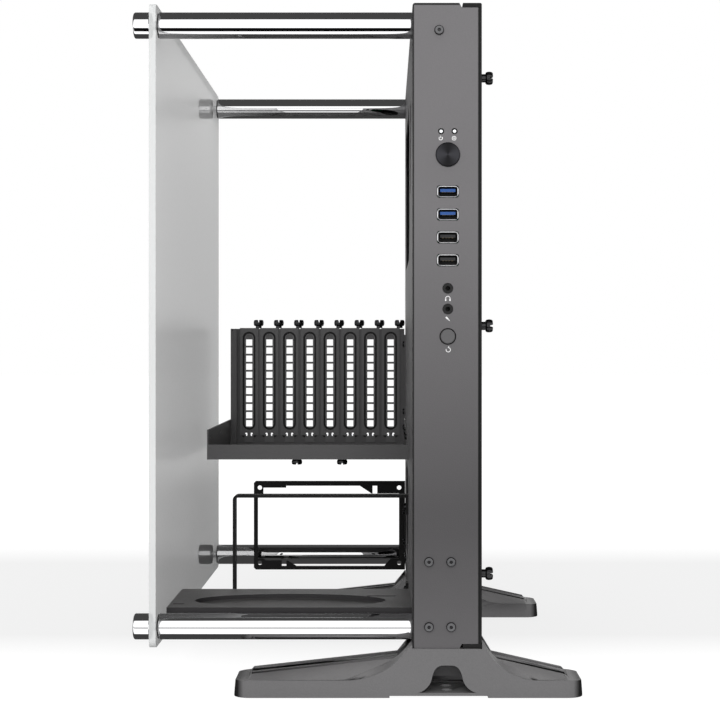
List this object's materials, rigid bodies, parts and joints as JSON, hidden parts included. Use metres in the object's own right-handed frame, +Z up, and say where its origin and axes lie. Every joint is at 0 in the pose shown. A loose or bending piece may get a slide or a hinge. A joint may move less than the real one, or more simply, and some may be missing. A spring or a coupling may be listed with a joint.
{
  "type": "open air test bench",
  "caption": "Upright open computer chassis: a thin steel body on two feet, a clear side panel on chrome rods, expansion slots, a power supply bay and front connectors.",
  "frame": {"origin": "on the floor, under the middle of the whole chassis", "axes": "+X points from the clear side panel to the rear cover, +Y from the connector wall to the rear wall, +Z up"},
  "size_m": [0.333, 0.47, 0.512],
  "materials": {
    "body_paint": "fine textured powder coat",
    "bracket_paint": "satin powder coat",
    "foot_paint": "cast, textured powder coat",
    "angle_steel": "zinc plated",
    "black_screws": "black oxide",
    "plain_steel": "bright",
    "clear_panel": "clear cast sheet",
    "polished_chrome": "mirror polished",
    "soft_rubber": "matt",
    "button_black": "turned look",
    "button_grey": "satin",
    "inner_plastic": "matt",
    "port_steel": "nickel plated",
    "tongue_blue": "satin",
    "tongue_black": "satin",
    "light_clear": "clear",
    "board_green": "lacquered",
    "spacer_brass": "bright"
  },
  "bodies": {
    "chassis": {"chassis_tray": "body_paint", "front_wall": "body_paint", "rear_wall": "body_paint", "top_rail": "body_paint", "bottom_rail": "body_paint", "rear_cover": "body_paint", "slot_bracket": "bracket_paint", "riser_shelf": "bracket_paint", "psu_frame": "bracket_paint", "psu_strap": "bracket_paint", "pump_bracket": "bracket_paint", "slot_cover_1": "bracket_paint", "slot_cover_2": "bracket_paint", "slot_cover_3": "bracket_paint", "slot_cover_4": "bracket_paint", "slot_cover_5": "bracket_paint", "slot_cover_6": "bracket_paint", "slot_cover_7": "bracket_paint", "slot_cover_8": "bracket_paint", "front_foot": "foot_paint", "rear_foot": "foot_paint", "front_foot_upright": "angle_steel", "rear_foot_upright": "angle_steel", "cover_thumbscrews": "black_screws", "slot_thumbscrews": "black_screws", "shelf_thumbscrews": "black_screws", "tray_screws": "black_screws", "foot_screws": "black_screws", "foot_base_screws": "black_screws", "front_wall_screw": "black_screws", "window_studs": "plain_steel", "rod_screws": "plain_steel", "io_screws": "plain_steel", "window_panel": "clear_panel", "rod_top_front": "polished_chrome", "rod_bottom_front": "polished_chrome", "rod_top_rear": "polished_chrome", "rod_bottom_rear": "polished_chrome", "window_caps": "polished_chrome", "window_washers": "soft_rubber", "foot_pads": "soft_rubber", "power_switch": "inner_plastic", "reset_switch": "inner_plastic", "headphone_jack": "inner_plastic", "microphone_jack": "inner_plastic", "port_shell_upper_fast": "port_steel", "port_shell_lower_fast": "port_steel", "port_shell_upper_plain": "port_steel", "port_shell_lower_plain": "port_steel", "port_tongue_upper_fast": "tongue_blue", "port_tongue_lower_fast": "tongue_blue", "port_tongue_upper_plain": "tongue_black", "port_tongue_lower_plain": "tongue_black", "light_guides": "light_clear", "io_board": "board_green", "io_spacers": "spacer_brass"},
    "power_key": {"power_button": "button_black", "power_plunger": "inner_plastic"},
    "reset_key": {"reset_button": "button_grey", "reset_plunger": "inner_plastic"}
  },
  "joints": [
    {"name": "power_press", "type": "slide", "parent": "chassis", "child": "power_key", "axis": [0, 1, 0], "range_m": [0, 0.0015], "stiffness_N_per_m": 600},
    {"name": "reset_press", "type": "slide", "parent": "chassis", "child": "reset_key", "axis": [0, 1, 0], "range_m": [0, 0.0015], "stiffness_N_per_m": 600}
  ]
}
